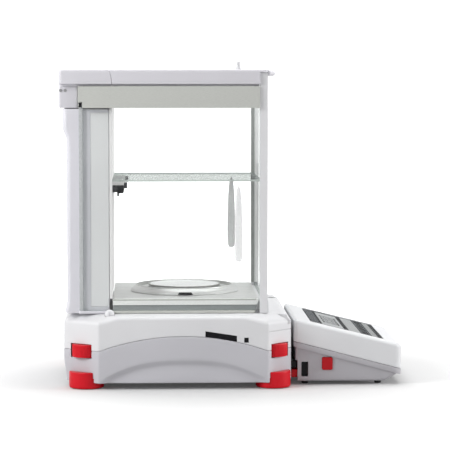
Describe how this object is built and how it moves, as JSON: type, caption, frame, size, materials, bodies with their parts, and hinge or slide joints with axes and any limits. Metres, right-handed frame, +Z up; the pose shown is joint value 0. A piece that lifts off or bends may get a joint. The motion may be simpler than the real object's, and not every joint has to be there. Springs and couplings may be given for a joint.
{
  "type": "analytical balance",
  "caption": "Analytical balance with a glass draught shield, sliding side and top doors, round steel pan, levelling feet and a detachable touch terminal.",
  "frame": {"origin": "on the bench, under the middle of the overall box", "axes": "+X towards the terminal and the person weighing, +Y towards that person's right, +Z up"},
  "size_m": [0.3826, 0.23, 0.363],
  "materials": {
    "lower_shell": "satin light grey paint on die-cast alloy",
    "upper_shell": "fine matte white",
    "cover_shell": "fine matte pale lavender grey",
    "column_shell": "fine matte pale grey",
    "rail_metal": "satin green grey",
    "red_plastic": "semi-gloss red",
    "black_plastic": "matte black",
    "stainless_steel": "brushed",
    "polished_steel": "polished",
    "alloy": "machined",
    "clear_glass": "clear float glass with grey green edges",
    "milky_plastic": "translucent white",
    "rear_panel": "smooth white",
    "screen_glass": "dark glossy glass",
    "display_module": "grey display",
    "circuit_board": "green laminate",
    "rubber": "matte"
  },
  "bodies": {
    "base": {"lower_housing": "lower_shell", "upper_housing": "upper_shell", "floor_plate": "stainless_steel", "bottom_rail_left": "rail_metal", "bottom_rail_right": "rail_metal", "pan_stem": "alloy", "load_cell_frame": "alloy", "cell_magnet": "stainless_steel", "cell_beam": "alloy", "calibration_motor": "black_plastic", "main_board": "circuit_board", "level_vial": "clear_glass", "side_port_block": "black_plastic", "rear_port_panel": "lower_shell", "dock_connector": "black_plastic", "dock_latch": "red_plastic", "rear_column": "column_shell", "rear_wall": "rear_panel", "ioniser_bar": "black_plastic", "top_rear_cap": "cover_shell", "top_frame": "cover_shell", "header_left": "rail_metal", "header_right": "rail_metal", "front_glass": "clear_glass", "post_left": "upper_shell", "post_right": "upper_shell"},
    "left_door": {"left_door_glass": "clear_glass", "left_door_handle": "milky_plastic", "left_door_runner": "black_plastic"},
    "right_door": {"right_door_glass": "clear_glass", "right_door_handle": "milky_plastic", "right_door_runner": "black_plastic"},
    "top_door": {"top_door": "clear_glass", "top_door_knob": "milky_plastic"},
    "pan": {"weighing_pan": "polished_steel"},
    "ring": {"draft_ring": "stainless_steel"},
    "shelf": {"shelf": "clear_glass"},
    "calibration_cam": {"calibration_cam": "milky_plastic"},
    "calibration_weight": {"calibration_weight": "stainless_steel"},
    "terminal": {"terminal_lower": "column_shell", "terminal_upper": "upper_shell", "touch_glass": "screen_glass", "lcd_module": "display_module", "terminal_board": "circuit_board", "terminal_foot_front_left": "rubber", "terminal_foot_front_right": "rubber", "terminal_foot_rear_left": "rubber", "terminal_foot_rear_right": "rubber"},
    "latch_left": {"latch_left": "milky_plastic"},
    "release_button_left": {"release_button_left": "red_plastic"},
    "wheel_front_left": {"levelling_wheel_front_left": "red_plastic"},
    "foot_front_left": {"foot_front_left": "red_plastic"},
    "wheel_rear_left": {"levelling_wheel_rear_left": "red_plastic"},
    "foot_rear_left": {"foot_rear_left": "red_plastic"},
    "latch_right": {"latch_right": "milky_plastic"},
    "release_button_right": {"release_button_right": "red_plastic"},
    "wheel_front_right": {"levelling_wheel_front_right": "red_plastic"},
    "foot_front_right": {"foot_front_right": "red_plastic"},
    "wheel_rear_right": {"levelling_wheel_rear_right": "red_plastic"},
    "foot_rear_right": {"foot_rear_right": "red_plastic"}
  },
  "joints": [
    {"name": "left_door_slide", "type": "slide", "parent": "base", "child": "left_door", "axis": [-1, 0, 0], "range_m": [0, 0.15]},
    {"name": "right_door_slide", "type": "slide", "parent": "base", "child": "right_door", "axis": [-1, 0, 0], "range_m": [0, 0.15]},
    {"name": "top_door_slide", "type": "slide", "parent": "base", "child": "top_door", "axis": [-1, 0, 0], "range_m": [0, 0.125]},
    {"name": "pan_lift_off", "type": "slide", "parent": "base", "child": "pan", "axis": [0, 0, 1], "range_m": [0, 0.03]},
    {"name": "ring_lift_off", "type": "slide", "parent": "base", "child": "ring", "axis": [0, 0, 1], "range_m": [0, 0.02]},
    {"name": "shelf_lift_off", "type": "slide", "parent": "base", "child": "shelf", "axis": [0, 0, 1], "range_m": [0, 0.012]},
    {"name": "calibration_cam_turn", "type": "hinge", "parent": "base", "child": "calibration_cam", "pos_m": [-0.072, 0.023, 0.05], "axis": [0, 1, 0], "range_deg": [0, 180]},
    {"name": "calibration_weight_drop", "type": "slide", "parent": "base", "child": "calibration_weight", "axis": [0, 0, -1], "range_m": [0, 0.003]},
    {"name": "terminal_undock", "type": "slide", "parent": "base", "child": "terminal", "axis": [1, 0, 0], "range_m": [0, 0.05]},
    {"name": "latch_left_turn", "type": "hinge", "parent": "base", "child": "latch_left", "pos_m": [-0.136, -0.1039, 0.08275], "axis": [0, 1, 0], "range_deg": [0, 90]},
    {"name": "release_button_left_press", "type": "slide", "parent": "terminal", "child": "release_button_left", "axis": [0, 1, 0], "range_m": [0, 0.0022], "stiffness_N_per_m": 800},
    {"name": "wheel_front_left_turn", "type": "hinge", "parent": "base", "child": "wheel_front_left", "pos_m": [0.04595, -0.09358, 0.0349], "axis": [0, 0, 1], "range_deg": [0, 1440]},
    {"name": "foot_front_left_extend", "type": "slide", "parent": "base", "child": "foot_front_left", "axis": [0, 0, -1], "range_m": [0, 0.006]},
    {"name": "wheel_rear_left_turn", "type": "hinge", "parent": "base", "child": "wheel_rear_left", "pos_m": [-0.16201, -0.09247, 0.0349], "axis": [0, 0, 1], "range_deg": [0, 1440]},
    {"name": "foot_rear_left_extend", "type": "slide", "parent": "base", "child": "foot_rear_left", "axis": [0, 0, -1], "range_m": [0, 0.006]},
    {"name": "latch_right_turn", "type": "hinge", "parent": "base", "child": "latch_right", "pos_m": [-0.136, 0.1039, 0.08275], "axis": [0, 1, 0], "range_deg": [0, 90]},
    {"name": "release_button_right_press", "type": "slide", "parent": "terminal", "child": "release_button_right", "axis": [0, -1, 0], "range_m": [0, 0.0022], "stiffness_N_per_m": 800},
    {"name": "wheel_front_right_turn", "type": "hinge", "parent": "base", "child": "wheel_front_right", "pos_m": [0.04595, 0.09358, 0.0349], "axis": [0, 0, 1], "range_deg": [0, 1440]},
    {"name": "foot_front_right_extend", "type": "slide", "parent": "base", "child": "foot_front_right", "axis": [0, 0, -1], "range_m": [0, 0.006]},
    {"name": "wheel_rear_right_turn", "type": "hinge", "parent": "base", "child": "wheel_rear_right", "pos_m": [-0.16201, 0.09247, 0.0349], "axis": [0, 0, 1], "range_deg": [0, 1440]},
    {"name": "foot_rear_right_extend", "type": "slide", "parent": "base", "child": "foot_rear_right", "axis": [0, 0, -1], "range_m": [0, 0.006]}
  ],
  "couplings": [
    {"joint": "calibration_cam_turn", "follows": "calibration_weight_drop", "rad_per_m": 1047.2},
    {"joint": "foot_front_left_extend", "follows": "wheel_front_left_turn", "m_per_rad": 0.00023873},
    {"joint": "foot_rear_left_extend", "follows": "wheel_rear_left_turn", "m_per_rad": 0.00023873},
    {"joint": "foot_front_right_extend", "follows": "wheel_front_right_turn", "m_per_rad": 0.00023873},
    {"joint": "foot_rear_right_extend", "follows": "wheel_rear_right_turn", "m_per_rad": 0.00023873}
  ]
}
